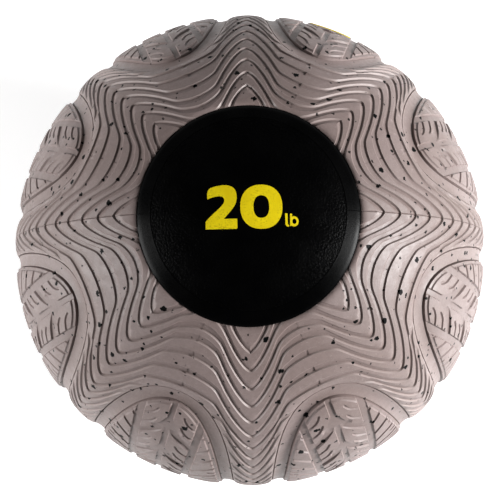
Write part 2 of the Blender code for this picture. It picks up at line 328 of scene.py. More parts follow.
def joined(patches):
    """Several patches of (points, faces, groove) as one, with the points along their seams merged."""
    points = np.concatenate([patch[0] for patch in patches])
    groove = np.concatenate([patch[2] for patch in patches])
    offsets = np.cumsum([0] + [len(patch[0]) for patch in patches[:-1]])
    faces = np.concatenate([patch[1] + offset for patch, offset in zip(patches, offsets)])
    _, first, index = np.unique(
        np.round(points * 1e6).astype(np.int64), axis=0, return_index=True, return_inverse=True
    )
    faces = index.reshape(-1)[faces]
    whole = (faces[:, 0] != faces[:, 1]) & (faces[:, 1] != faces[:, 2]) & (faces[:, 0] != faces[:, 2])
    points = points[first]
    return points, facing_out(points, faces[whole]), groove[first]


def thick(points, faces, groove, inner):
    """Closes a surface with a matching inner one and a wall along its open edges."""
    edges = np.concatenate([faces[:, [0, 1]], faces[:, [1, 2]], faces[:, [2, 0]]])
    _, index, count = np.unique(np.sort(edges, axis=1), axis=0, return_inverse=True, return_counts=True)
    rim = edges[count[index.reshape(-1)] == 1]
    below = rim + len(points)
    wall = np.concatenate([
        np.stack([rim[:, 1], rim[:, 0], below[:, 0]], -1),
        np.stack([rim[:, 1], below[:, 0], below[:, 1]], -1),
    ])
    faces = np.concatenate([faces, faces[:, ::-1] + len(points), wall])
    return np.concatenate([points, inner]), faces, np.concatenate([groove, np.zeros(len(inner))])


def mesh_piece(name, points, faces, groove=None, sharp=28):
    """A mesh object. groove is how deep in the relief each point lies, up to 1, which the cover turns into
    painted shade, and negative where the cover has a painted highlight.
    """
    data = bpy.data.meshes.new(name)
    data.from_pydata(np.asarray(points).tolist(), [], np.asarray(faces).tolist())
    if groove is not None:
        data.attributes.new("groove", "FLOAT", "POINT").data.foreach_set("value", groove.astype(np.float32))
    data.shade_smooth()
    data.set_sharp_from_angle(angle=math.radians(sharp))
    piece = bpy.data.objects.new(name, data)
    bpy.context.scene.collection.objects.link(piece)
    return piece


def turned(name, profile, matrix, steps=96, sharp=28):
    """Turns a closed outline of (distance from the axis, height) about Z, then places it by a matrix."""
    angles = np.linspace(0, 360, steps, endpoint=False)
    ring = np.asarray(profile, float)
    points = np.stack([
        np.outer(cos(angles), ring[:, 0]), np.outer(sin(angles), ring[:, 0]), np.tile(ring[:, 1], (steps, 1))
    ], -1).reshape(-1, 3)
    count = len(ring)
    faces = []
    for turn in range(steps):
        here, there = turn * count, (turn + 1) % steps * count
        for i in range(count):
            j = (i + 1) % count
            faces.append((here + i, there + i, there + j, here + j))
    data = bpy.data.meshes.new(name)
    data.from_pydata(points.tolist(), [], faces)
    piece = bpy.data.objects.new(name, data)
    bpy.context.scene.collection.objects.link(piece)
    clean(data)
    data.transform(matrix)
    data.shade_smooth()
    data.set_sharp_from_angle(angle=math.radians(sharp))
    return piece


def clean(data):
    """Merges the points on a turned shape's axis and turns its faces out."""
    shape = bmesh.new()
    shape.from_mesh(data)
    bmesh.ops.remove_doubles(shape, verts=shape.verts, dist=1e-6)
    bmesh.ops.recalc_face_normals(shape, faces=shape.faces)
    shape.to_mesh(data)
    shape.free()


# ---------------------------------------------------------------------------
# Relief of the cover
# ---------------------------------------------------------------------------


def pad_coordinates(polar, offset):
    """Angles across and along a pad, from its middle. offset is the azimuth from the pad's axis."""
    across = np.degrees(np.arcsin(np.clip(sin(polar) * sin(offset), -1, 1)))
    along = np.degrees(np.arctan2(cos(polar), sin(polar) * cos(offset)))
    return across, along


def pad_distance(across, along):
    """Angle from the pad's rim: positive outside the pad, negative on it."""
    level = np.hypot(across / PAD_HALF_WIDTH, along / PAD_HALF_LENGTH)
    slope = np.hypot(across / PAD_HALF_WIDTH**2, along / PAD_HALF_LENGTH**2)
    return (level - 1) * level / np.maximum(slope, 1e-9)


def pad_outline(distance):
    """(across, along) points of a quarter of the line at one distance from the rim."""
    turn = np.linspace(0, 90, 400)
    reach = 1 / np.hypot(cos(turn) / PAD_HALF_WIDTH, sin(turn) / PAD_HALF_LENGTH)
    slope = np.hypot(cos(turn) / PAD_HALF_WIDTH**2, sin(turn) / PAD_HALF_LENGTH**2)
    reach = reach * (1 + distance * slope * reach)
    return np.stack([reach * cos(turn), reach * sin(turn)], -1)


def star_distance(polar, from_tip):
    """Distance from the pad's rim, for a direction at an azimuth from_tip away from a star tip."""
    return pad_distance(*pad_coordinates(polar, HALF_SECTOR - from_tip))


def contour(number, from_tip):
    """Polar angle of a contour groove's outer edge: a straight arm from the rounded tip, then an arch."""
    tip = FIRST_TIP + TIP_STEP * number
    beyond = max(0, number - len(ARCH_TOPS) + 1)
    arch_top = ARCH_TOPS[min(number, len(ARCH_TOPS) - 1)] + ARCH_STEP * beyond
    slope = min(STEEPEST_ARM, ARM_SLOPE * sin(tip) + ARM_STEEPENING * beyond)
    rounding = TIP_ROUNDING / sin(tip)
    arm = tip + slope * (rounding - np.hypot(from_tip, rounding)) + ARM_BEND * from_tip**2
    arch = arch_top + ARCH_BEND * (HALF_SECTOR - from_tip) ** 2
    return (arm + arch + np.hypot(arm - arch, 1)) / 2


def contour_stretch(number, from_tip):
    """How much longer a distance across the groove is when it is measured along the meridian."""
    step = 0.05
    before = contour(number, np.maximum(from_tip - step, 0))
    after = contour(number, from_tip + step)
    slope = (after - before) / (from_tip + step - np.maximum(from_tip - step, 0))
    slope = np.where(from_tip < step, 0, slope)
    return np.hypot(1, slope / sin(contour(number, from_tip)))


def toward_arch(from_tip, blend):
    """0 on a star point's arms and 1 on the arch between two points. blend is its start and its length."""
    start, length = blend
    return smooth_step((from_tip - start) / length)


def groove_width(number, from_tip):
    """Angle from a groove's soft start to its steep outer wall."""
    at_tip = np.exp(-((from_tip / TIP_WIDENING_REACH) ** 2))
    at_arch = toward_arch(from_tip, ARCH_WIDTH_BLEND)
    from_arm = (GROOVE_WIDTH_AT_TIP - GROOVE_WIDTH) * at_tip + (GROOVE_WIDTH_AT_ARCH - GROOVE_WIDTH) * at_arch
    return GROOVE_WIDTH + from_arm * (1 - LOWER_NARROWING * (number >= LOWER_GROOVES))


def groove_depth(from_tip):
    return GROOVE_DEPTH + (GROOVE_DEPTH_AT_ARCH - GROOVE_DEPTH) * toward_arch(from_tip, ARCH_DEPTH_BLEND)


def valve_distance(polar, from_tip):
    return np.degrees(np.arccos(np.clip(sin(polar) * cos(from_tip), -1, 1)))


def star_drop(polar, from_tip, has_valve):
    """How far the star's surface lies below the ball's crest, and its groove value as mesh_piece takes it:
    painted shade by groove depth, less a painted highlight on each steep outer wall.
    """
    deepest = np.zeros_like(polar)
    overlay_share = np.zeros_like(polar)
    near_tip = np.exp(-((from_tip / TIP_SLOPE_REACH) ** 2))
    for number in range(GROOVES):
        across = (polar - contour(number, from_tip)) / contour_stretch(number, from_tip)
        width = groove_width(number, from_tip)
        across_floor = np.clip((across + width) / (width - GROOVE_WALL), 0, 1)
        start = START_SHARE * smooth_step(across_floor / START_WIDTH)
        slope = start + (1 - START_SHARE) * across_floor
        slope += (across_floor**SLOPE_SHAPE_AT_TIP - slope) * near_tip
        wall = np.clip(-across / GROOVE_WALL, 0, 1)
        deepest = np.maximum(deepest, groove_depth(from_tip) * np.minimum(slope, wall))
        # Painted highlight along the steep outer wall, taken off the groove value
        from_lip = np.abs(across + GROOVE_WALL / 2) - GROOVE_WALL / 2
        overlay_share = np.maximum(overlay_share, WALL_HIGHLIGHT_STRENGTH * np.clip(1 - from_lip / WALL_HIGHLIGHT_REACH, 0, 1))
    beyond = np.maximum(star_distance(polar, from_tip) - CHANNEL_WIDTH, 0)
    deepest = deepest * (GROOVE_AT_CHANNEL + (1 - GROOVE_AT_CHANNEL) * smooth_step(beyond / GROOVE_FADE))
    if has_valve:
        deepest = deepest * smooth_step((valve_distance(polar, from_tip) - VALVE_LAND) / LAND_BLEND)
    edge = STAR_EDGE_DROP * np.exp(-beyond / STAR_EDGE_ROUNDING)
    opening = OPENING_DROP * np.exp(-(polar - CAP_OPENING) / OPENING_ROUNDING)
    return deepest + edge + opening, GROOVE_SHADE * deepest / GROOVE_DEPTH - overlay_share


def polar_plane(polar, azimuth):
    return np.stack([polar * cos(azimuth), polar * sin(azimuth)], -1)


def from_plane(flat):
    return np.hypot(flat[:, 0], flat[:, 1]), np.degrees(np.arctan2(flat[:, 1], flat[:, 0]))


def star_wedge_lines():
    """The lines that the mesh of half a star point follows: borders, grooves and rounded edges."""
    fine = np.linspace(0, HALF_SECTOR, 300)
    arch_top = 90 - PAD_HALF_LENGTH - CHANNEL_WIDTH
    neck = HALF_SECTOR - PAD_HALF_WIDTH - CHANNEL_WIDTH
    lines = [
        polar_plane(np.linspace(CAP_OPENING, 90, 9), 0),
        polar_plane(np.linspace(CAP_OPENING, arch_top, 9), HALF_SECTOR),
        polar_plane(90.0, np.linspace(0, neck, 20)),
    ]
    lines += [polar_plane(CAP_OPENING + rise, fine) for rise in (0, 0.2, 0.6, 1.2)]
    for distance in (0, 0.3, 0.8, 1.6, 2.6):
        across, along = pad_outline(CHANNEL_WIDTH + distance).T
        polar = np.degrees(np.arccos(cos(across) * sin(along)))
        offset = np.degrees(np.arctan2(sin(across), cos(across) * cos(along)))
        lines.append(polar_plane(polar, np.maximum(HALF_SECTOR - offset, 0)))
    lines.append(np.stack([np.linspace(CAP_OPENING, 90, 300), np.full(300, PARTING_WIDTH)], -1))
    for number in range(GROOVES):
        width = groove_width(number, fine)
        floor_end = width - GROOVE_WALL
        steps = [WALL_HIGHLIGHT_REACH, 0, -GROOVE_WALL / 2, -GROOVE_WALL, -GROOVE_WALL - WALL_HIGHLIGHT_REACH]
        steps += [share * floor_end - width for share in (0.5, START_WIDTH, START_WIDTH / 2, 0)]
        for across in steps:
            polar = contour(number, fine) + across * contour_stretch(number, fine)
            kept = (polar > CAP_OPENING - 0.4) & (star_distance(polar, fine) > CHANNEL_WIDTH - 0.8)
            if kept.sum() > 2:
                lines.append(polar_plane(polar[kept], fine[kept]))
    turn = np.linspace(0, 90, 60)
    for radius in (VALVE_HOLE, VALVE_LAND, VALVE_LAND + LAND_BLEND):
        lines.append(polar_plane(90 - radius * cos(turn), radius * sin(turn)))
    return [spaced(line) for line in lines]


def in_star_wedge(flat):
    polar, from_tip = from_plane(flat)
    border = 1e-6
    inside = (from_tip > -border) & (from_tip < HALF_SECTOR + border) & (polar < 90 + border)
    inside &= polar > CAP_OPENING - border
    return inside & (star_distance(polar, from_tip) > CHANNEL_WIDTH - border)


def make_star_halves():
    """The star cover's two halves, which meet at the mould's parting plane."""
    flat, faces = triangulate(star_wedge_lines(), in_star_wedge)
    polar, from_tip = from_plane(flat)
    from_tip = np.clip(from_tip, 0, HALF_SECTOR)
    centres = from_plane(flat[faces].mean(1))
    outside_hole = faces[valve_distance(*centres) > VALVE_HOLE]
    halves = {-1: [], 1: []}
    for tip in range(SECTORS):
        has_valve = tip == VALVE_TIP
        drop, groove = star_drop(polar, from_tip, has_valve)
        for mirror in (-1, 1):
            azimuth = SECTOR * tip + mirror * from_tip
            side = 1 if sin(SECTOR * tip + mirror) > 0 else -1
            for polar_here in (polar, 180 - polar):
                points = on_ball(BALL_RADIUS - drop, polar_here, azimuth)
                halves[side].append((points, outside_hole if has_valve else faces, groove))
    pieces = []
    for side, name in ((-1, "cover_star_near"), (1, "cover_star_far")):
        points, faces, groove = joined(halves[side])
        at_seam = np.abs(points[:, 1]) < 1e-6
        points[at_seam] *= 1 - PARTING_DROP / BALL_RADIUS
        points[at_seam, 1] = side * SEAM_GAP
        inner = points / np.linalg.norm(points, axis=1)[:, None] * (BALL_RADIUS - COVER_WALL)
        inner[at_seam, 1] = side * SEAM_GAP
        pieces.append(mesh_piece(name, *thick(points, faces, groove, inner)))
    return pieces


# ---------------------------------------------------------------------------
# Tread pads
# ---------------------------------------------------------------------------


def shifted(line, rise):
    return np.asarray(line) + (0, rise)


def tread_cuts():
    """(line, half width, depth, is in the middle rows) of each cut in a quarter of the tread."""
    top = PAD_HALF_LENGTH + 5
    cuts = [
        (np.array([(0, -top), (0, top)]), MIDDLE_CHANNEL, TREAD_DEPTH, True),
        (np.array([(SIDE_CHANNEL, -top), (SIDE_CHANNEL, top)]), SIDE_CHANNEL_HALF_WIDTH, TREAD_DEPTH, False),
    ]
    for row in range(CHEVRONS):
        fall = -CHEVRON_STEP * row
        cuts.append((shifted(CHEVRON, fall), CHEVRON_HALF_WIDTH, TREAD_DEPTH, True))
        for rise in SIPE_RISES:
            side = CHEVRON[4][1] + fall + rise
            cuts.append((shifted(SIPE, side), SIPE_HALF_WIDTH, SIPE_DEPTH, True))
    cuts.append((shifted(SIPE, 2.7), SIPE_HALF_WIDTH, SIPE_DEPTH, True))
    for row in range(2 * CHEVRONS + 2):
        side = SHOULDER_SIPE_TOP - CHEVRON_STEP / 2 * row
        cuts.append((shifted(SHOULDER_SIPE, side), SHOULDER_SIPE_HALF_WIDTH, SIPE_DEPTH, False))
        cuts.append((shifted(SHORT_SIPE, side), SIPE_HALF_WIDTH * 0.8, SIPE_DEPTH, False))
    return cuts


def line_distance(across, along, line):
    """Distance from each point to a line of straight stretches."""
    best = np.full(across.shape, 1e9)
    for (x0, y0), (x1, y1) in zip(line[:-1], line[1:]):
        dx, dy = x1 - x0, y1 - y0
        t = np.clip(((across - x0) * dx + (along - y0) * dy) / (dx * dx + dy * dy), 0, 1)
        best = np.minimum(best, np.hypot(across - x0 - t * dx, along - y0 - t * dy))
    return best


def cut_outline(line, half_width):
    """The outline at a constant distance from a line, with round ends."""
    line = np.asarray(line, float)
    left, right = [], []
    for i, point in enumerate(line):
        before = line[i] - line[i - 1] if i else line[1] - line[0]
        after = line[i + 1] - line[i] if i + 1 < len(line) else before
        before, after = before / np.hypot(*before), after / np.hypot(*after)
        middle = before + after
        middle /= np.hypot(*middle)
        normal = np.array([-middle[1], middle[0]]) * half_width / max(0.6, middle @ before)
        left.append(point + normal)
        right.append(point - normal)
    first, last = line[1] - line[0], line[-1] - line[-2]
    start = math.degrees(math.atan2(first[1], first[0]))
    end = math.degrees(math.atan2(last[1], last[0]))
    turns = np.linspace(90, -90, 7)[1:-1]
    end_cap = [line[-1] + half_width * np.array([cos(end + turn), sin(end + turn)]) for turn in turns]
    start_cap = [line[0] - half_width * np.array([cos(start + turn), sin(start + turn)]) for turn in turns]
    return np.array(left + end_cap + right[::-1] + start_cap + left[:1])


def in_corner_cut(across, along, row):
    """How far up a block's inner corner a point lies, from 0 on the crease to 1 at the corner."""
    (x0, y0), (x1, y1) = shifted(CORNER_CUT, -CHEVRON_STEP * row)
    length = math.hypot(x1 - x0, y1 - y0)
    above = ((x1 - x0) * (along - y0) - (y1 - y0) * (across - x0)) / length
    near = (across < x1 + 0.2) & (above < CORNER_CUT_HEIGHT + 0.6)
    return np.where(near, np.clip(above / CORNER_CUT_HEIGHT, 0, 1), 0)


def tread_drop(across, along, has_panel):
    """How far the pad and its channel lie below the ball's crest, and its groove value, which is painted
    shade in the tread cuts and along the channel's creases.
    """
    distance = pad_distance(across, along)
    in_panel = has_panel & (across < PANEL_HALF_WIDTH) & (along < PANEL_HALF_LENGTH)
    cut = LEDGE_DEPTH * np.clip((distance + LEDGE + TREAD_WALL) / TREAD_WALL, 0, 1)
    for line, half_width, depth, is_middle in tread_cuts():
        here = depth * np.clip((half_width - line_distance(across, along, line)) / TREAD_WALL, 0, 1)
        if is_middle:
            here = np.where(in_panel, 0, here)
        cut = np.maximum(cut, here)
    for row in range(CHEVRONS):
        corner = CORNER_CUT_DROP * in_corner_cut(across, along, row)
        cut = np.maximum(cut, np.where(in_panel, 0, corner))
    shoulder = SHOULDER_DROP * np.maximum(0, 1 + np.minimum(distance, 0) / SHOULDER_WIDTH) ** 2
    drop = cut + shoulder
    width = np.clip(distance / CHANNEL_WIDTH, 0, 1)
    edge = CHANNEL_INNER_DROP + (CHANNEL_OUTER_DROP - CHANNEL_INNER_DROP) * width
    bowl = (CHANNEL_MIDDLE_DROP - (CHANNEL_INNER_DROP + CHANNEL_OUTER_DROP) / 2) * 4 * width * (1 - width)
    creases = [np.abs(distance - place) for place in (CREASE_HALF_WIDTH, CHANNEL_WIDTH - CREASE_HALF_WIDTH)]
    crease = CREASE_DROP * np.clip(1 - np.minimum(*creases) / CREASE_HALF_WIDTH, 0, 1)
    edge = edge + crease
    step = smooth_step(distance / PAD_EDGE_WIDTH)
    drop = np.where(distance > 0, drop * (1 - step) + (edge + bowl) * step, drop)
    # Painted shade: deeper tread cuts are darker, and so are the channel's creases
    shade = np.where(distance < 0, TREAD_SHADE * cut / TREAD_DEPTH, CREASE_SHADE * crease / CREASE_DROP)
    return drop, np.clip(shade, 0, 1)


def tread_lines():
    outer = CHANNEL_WIDTH - CHANNEL_GAP
    lines = [
        np.array([(0, 0), (0, PAD_HALF_LENGTH + outer)]),
        np.array([(0, 0), (PAD_HALF_WIDTH + outer, 0)]),
        np.array([(PANEL_HALF_WIDTH, 0), (PANEL_HALF_WIDTH, PANEL_HALF_LENGTH), (0, PANEL_HALF_LENGTH)]),
    ]
    creases = (CREASE_HALF_WIDTH, 2 * CREASE_HALF_WIDTH)
    rims = [outer] + [CHANNEL_WIDTH - crease for crease in creases]
    rims += [2.3, 1.5, 0.7, creases[1], creases[0]]
    rims += [0, -LEDGE, -LEDGE - TREAD_WALL, -1.3, -2.2]
    lines += [pad_outline(distance) for distance in rims]
    for line, half_width, _, _ in tread_cuts():
        for reach in (half_width, half_width - TREAD_WALL):
            lines.append(cut_outline(line, reach))
    for row in range(CHEVRONS):
        lines.append(shifted(CORNER_CUT, -CHEVRON_STEP * row))
    kept = []
    for line in lines:
        line = spaced(line)
        near = (line[:, 0] > -0.6) & (line[:, 1] > -0.6) & (pad_distance(*line.T) < CHANNEL_WIDTH)
        breaks = np.flatnonzero(np.diff(near.astype(int))) + 1
        for run in np.split(np.arange(len(line)), breaks):
            if near[run[0]] and len(run) > 1:
                kept.append(line[run])
    return kept


def in_tread(flat):
    border = 1e-6
    inside = (flat[:, 0] > -border) & (flat[:, 1] > -border)
    return inside & (pad_distance(*flat.T) < CHANNEL_WIDTH - CHANNEL_GAP + border)


def pad_direction(across, along):
    """Directions with the pad's middle along +X and its long axis along +Z."""
    return np.stack([cos(across) * cos(along), sin(across), cos(across) * sin(along)], -1)


def make_pads():
    flat, faces = triangulate(tread_lines(), in_tread)
    across, along = np.maximum(flat, 0).T
    pads = []
    for number in range(SECTORS):
        axis = HALF_SECTOR + SECTOR * number
        has_panel = number == PANEL_PAD
        drop, groove = tread_drop(across, along, has_panel)
        turn = np.array(Matrix.Rotation(math.radians(axis), 3, "Z"))
        patches = []
        for mirror in (-1, 1):
            for flip in (-1, 1):
                points = pad_direction(mirror * across, flip * along) * (BALL_RADIUS - drop)[:, None]
                patches.append((points @ turn.T, faces, groove))
        points, joined_faces, groove = joined(patches)
        inner = points / np.linalg.norm(points, axis=1)[:, None] * (BALL_RADIUS - COVER_WALL)
        pads.append(mesh_piece(f"tread_pad_{number + 1}", *thick(points, joined_faces, groove, inner)))
    return pads


# ---------------------------------------------------------------------------
# Caps
# ---------------------------------------------------------------------------


def cap_drop(polar, across_parting):
    """How far a cap lies below its dome: a fine ring groove, the turned-down edge and the parting line."""
    ring = CAP_GROOVE_DROP * np.clip(1 - np.abs(polar - CAP_GRAIN_EDGE) / CAP_GROOVE_HALF_WIDTH, 0, 1)
    ring = ring + CAP_RING_DROP * np.clip((polar - CAP_GRAIN_EDGE) / (CAP_RING_EDGE - CAP_GRAIN_EDGE), 0, 2)
    past_ring = np.clip((polar - CAP_RING_EDGE) / (CAP_OPENING - CAP_RING_EDGE), 0, 1)
    turned_down = CAP_EDGE_DROP * past_ring**CAP_EDGE_SHAPE
    parting = CAP_PARTING_DROP * np.clip(1 - np.abs(across_parting) / CAP_PARTING_HALF_WIDTH, 0, 1)
    return ring + turned_down + parting


def make_cap(name, side):
    edge = CAP_OPENING - 0.04
    turn = np.linspace(0, 360, 1441)
    rings = (edge, edge - 0.15, edge - 0.35, CAP_RING_EDGE, CAP_RING_EDGE - 0.4)
    rings += tuple(CAP_GRAIN_EDGE + offset * CAP_GROOVE_HALF_WIDTH for offset in (-1, 0, 1))
    lines = [polar_plane(ring, turn) for ring in rings]
    for height in (-CAP_PARTING_HALF_WIDTH, 0, CAP_PARTING_HALF_WIDTH):
        reach = math.sqrt(edge**2 - height**2) - 0.01
        lines.append(np.array([(-reach, height), (reach, height)]))
    lines = [spaced(line, CAP_SPACING) for line in lines]
    flat, faces = triangulate(lines, lambda flat: np.hypot(*flat.T) < edge + 1e-6, 1.6 * CAP_SPACING)
    polar, azimuth = from_plane(flat)
    points = on_ball(CAP_DOME - cap_drop(polar, flat[:, 1]), polar, azimuth)
    ring = smooth_step((polar - CAP_GRAIN_EDGE) / 0.15)
    points[:, 2] *= side
    faces = facing_out(points, faces)
    inner = points / np.linalg.norm(points, axis=1)[:, None] * (BALL_RADIUS - COVER_WALL)
    return mesh_piece(name, *thick(points, faces, ring, inner))


# ---------------------------------------------------------------------------
# Markings
# ---------------------------------------------------------------------------


def ellipse(centre, radii, start, end, steps, roundness=2.0):
    """Points on a superellipse. A roundness of 2 is a true ellipse."""
    turn = np.linspace(start, end, steps)
    x = np.sign(cos(turn)) * np.abs(cos(turn)) ** (2 / roundness)
    y = np.sign(sin(turn)) * np.abs(sin(turn)) ** (2 / roundness)
    return np.stack([centre[0] + radii[0] * x, centre[1] + radii[1] * y], -1)


def closed(outline):
    return np.concatenate([outline, outline[:1]])


def smoothed(outline, rounds=2):
    """Cuts the corners of an open line a little, which turns it into a curve."""
    for _ in range(rounds):
        before, after = outline[:-1], outline[1:]
        cut = np.stack([0.75 * before + 0.25 * after, 0.25 * before + 0.75 * after], 1).reshape(-1, 2)
        outline = np.concatenate([outline[:1], cut, outline[-1:]])
    return outline


def inside_outlines(flat, outlines):
    """Which points lie inside an odd number of the outlines."""
    crossings = np.zeros(len(flat), int)
    for outline in outlines:
        for (x0, y0), (x1, y1) in zip(outline[:-1], outline[1:]):
            if y0 == y1:
                continue
            spans = (flat[:, 1] >= min(y0, y1)) & (flat[:, 1] < max(y0, y1))
            crossings += spans & (flat[:, 0] < x0 + (flat[:, 1] - y0) * (x1 - x0) / (y1 - y0))
    return crossings % 2 == 1


def numeral_zero():
    outer = ellipse(ZERO_CENTRE, ZERO_OUTER, 0, 360, 97, 2.25)
    inner = ellipse(ZERO_CENTRE, ZERO_INNER, 0, 360, 65, 2.35)
    return [outer, inner]


def numeral_two():
    top = smoothed(np.array(TWO_TOP, float))
    belly = smoothed(np.array(TWO_BELLY, float))
    return [closed(np.concatenate([top, TWO_BAR, belly]))]


def letter_l():
    return [closed(np.array(L_OUTLINE))]


def letter_b():
    bowl = ellipse(*B_BOWL, 118, -125, 30)
    counter = ellipse(*B_COUNTER, 0, 360, 30)
    return [closed(np.concatenate([bowl, B_STEM])), counter]


def make_numeral(name, outlines):
    """A thin film of ink that follows the front cap's dome. The outlines are in millimetres."""
    outlines = [np.asarray(outline, float) for outline in outlines]
    lines = [spaced(outline, 0.3) for outline in outlines]
    flat, faces = triangulate(lines, lambda flat: inside_outlines(flat, lines), 0.8)
    x, y = flat.T / 1000
    height = math.degrees(1) * y / CAP_DOME
    drop = cap_drop(0 * x, height)
    bottom, top = CAP_DOME + INK_BOTTOM - drop, CAP_DOME + INK_TOP - drop
    points = np.stack([x, y, np.sqrt(top**2 - x**2 - y**2)], -1)
    inner = np.stack([x, y, np.sqrt(bottom**2 - x**2 - y**2)], -1)
    faces = facing_out(points, faces)
    return mesh_piece(name, *thick(points, faces, 0 * x, inner))


def make_pad_film():
    """A blank rounded label on the panel pad, along the ball's curve."""
    width, length = FILM_HALF_SIZE
    corners = ((1, 1, 0), (-1, 1, 90), (-1, -1, 180), (1, -1, 270))
    outline = []
    for x, y, start in corners:
        centre = (x * (width - FILM_CORNER), y * (length - FILM_CORNER))
        outline.append(ellipse(centre, (FILM_CORNER, FILM_CORNER), start, start + 90, 7))
    outline = np.concatenate(outline)
    line = spaced(closed(outline), 0.4)
    flat, faces = triangulate([line], lambda flat: inside_outlines(flat, [line]), 0.9)
    turn = np.array(Matrix.Rotation(math.radians(HALF_SECTOR + SECTOR * PANEL_PAD), 3, "Z"))
    ways = pad_direction(*flat.T) @ turn.T
    faces = facing_out(ways, faces)
    bottom, top = (ways * (BALL_RADIUS + height) for height in FILM_HEIGHTS)
    return mesh_piece("panel_film", *thick(top, faces, np.zeros(len(ways)), bottom))


# ---------------------------------------------------------------------------
# Valve
# ---------------------------------------------------------------------------


def rounded(corner_before, corner, corner_after, radius, steps=4):
    """Points that round one corner of an outline."""
    corner = np.array(corner, float)
    before = np.array(corner_before, float) - corner
    after = np.array(corner_after, float) - corner
    start = corner + before / np.hypot(*before) * radius
    end = corner + after / np.hypot(*after) * radius
    turn = np.linspace(0, 1, steps)[:, None]
    return ((1 - turn) ** 2 * start + 2 * turn * (1 - turn) * corner + turn**2 * end).tolist()


def make_valve_housing():
    """A sleeve with a rounded lip, the plug's seat and an inner flange. Turned about +Y."""
    flange_bottom = HOUSING_LOW
    flange_top = flange_bottom + FLANGE_THICKNESS
    seat_floor = HOUSING_TOP - SEAT_DEPTH
    bore_floor = seat_floor - BORE_LENGTH
    outline = [
        (SEAT_RADIUS, HOUSING_TOP), (HOUSING_RADIUS, HOUSING_TOP), (HOUSING_RADIUS, flange_top),
        (FLANGE_RADIUS, flange_top), (FLANGE_RADIUS, flange_bottom), (NEEDLE_RADIUS, flange_bottom),
        (NEEDLE_RADIUS, bore_floor), (BORE_RADIUS, bore_floor), (BORE_RADIUS, seat_floor),
        (SEAT_RADIUS, seat_floor),
    ]
    return turned("valve_sleeve", softened(outline, 0.0005), ALONG_PLUS_Y)


def softened(outline, radius):
    count = len(outline)
    points = []
    for i in range(count):
        points += rounded(outline[i - 1], outline[i], outline[(i + 1) % count], radius)
    return points


def make_valve_plug():
    """The self-sealing plug: a domed head with a needle dimple, a stem and a tapered tip. Turned about +Y."""
    head = SEAT_RADIUS - PLUG_CLEARANCE
    head_bottom = HOUSING_TOP - SEAT_DEPTH + PLUG_CLEARANCE
    stem = BORE_RADIUS - PLUG_CLEARANCE
    outline = [
        (0, HOUSING_TOP - 0.0012), (0.0004, HOUSING_TOP - 0.0010), (0.0009, HOUSING_TOP - 0.0003),
        (0.0014, HOUSING_TOP - 0.00005), (0.0022, HOUSING_TOP - 0.0001),
        (head - 0.0007, HOUSING_TOP - 0.0003), (head - 0.0002, HOUSING_TOP - 0.0006),
        (head, HOUSING_TOP - 0.0010), (head, head_bottom + 0.0002), (head - 0.0002, head_bottom),
        (stem, head_bottom), (stem, PLUG_TIP + 0.0022), (stem * 0.8, PLUG_TIP + 0.0009),
        (stem * 0.5, PLUG_TIP), (0, PLUG_TIP),
    ]
    return turned("plug_body", outline, ALONG_PLUS_Y)


# ---------------------------------------------------------------------------
# Materials
# ---------------------------------------------------------------------------


class Nodes:
    """A material's node tree, with short ways to add and join nodes."""

    def __init__(self, name):
        self.material = bpy.data.materials.new(name)
        self.material.use_nodes = True
        self.tree = self.material.node_tree
        self.shader = self.tree.nodes["Principled BSDF"]
        self.place = self.add("ShaderNodeTexCoord").outputs["Object"]

    def add(self, kind, inputs=None, **settings):
        node = self.tree.nodes.new(kind)
        for name, value in settings.items():
            setattr(node, name, value)
        for name, value in (inputs or {}).items():
            if isinstance(value, bpy.types.NodeSocket):
                self.tree.links.new(value, node.inputs[name])
            else:
                node.inputs[name].default_value = value
        return node

    def noise(self, scale, detail=2.0, roughness=0.5, place=None):
        inputs = {"Vector": place or self.place, "Scale": scale, "Detail": detail, "Roughness": roughness}
        return self.add("ShaderNodeTexNoise", inputs).outputs

    def math(self, operation, first, second=0.0, clamp=False):
        node = self.add("ShaderNodeMath", {0: first, 1: second}, operation=operation, use_clamp=clamp)
        return node.outputs[0]

    def spread(self, value, low, high, to_low=0.0, to_high=1.0):
        """value from low..high to to_low..to_high, held at the ends."""
        inputs = {"Value": value, "From Min": low, "From Max": high, "To Min": to_low, "To Max": to_high}
        return self.add("ShaderNodeMapRange", inputs, interpolation_type="SMOOTHSTEP").outputs["Result"]

    def mix(self, factor, first, second):
        """One colour turning into another as factor goes from 0 to 1."""
        node = self.add("ShaderNodeMix", data_type="RGBA")
        sockets = [socket for socket in node.inputs if socket.enabled]
        for name, value in (("Factor", factor), ("A", first), ("B", second)):
            socket = next(socket for socket in sockets if socket.name == name)
            if isinstance(value, bpy.types.NodeSocket):
                self.tree.links.new(value, socket)
            else:
                socket.default_value = value
        return next(socket for socket in node.outputs if socket.enabled)

    def bump(self, height, strength, distance, normal=None):
        inputs = {"Height": height, "Strength": strength, "Distance": distance}
        if normal is not None:
            inputs["Normal"] = normal
        return self.add("ShaderNodeBump", inputs).outputs["Normal"]

    def finish(self, colour, roughness, normal, specular):
        self.tree.links.new(colour, self.shader.inputs["Base Color"])
        self.tree.links.new(roughness, self.shader.inputs["Roughness"])
        self.tree.links.new(normal, self.shader.inputs["Normal"])
        if specular is not None:
            self.shader.inputs["Specular IOR Level"].default_value = specular
        return self.material


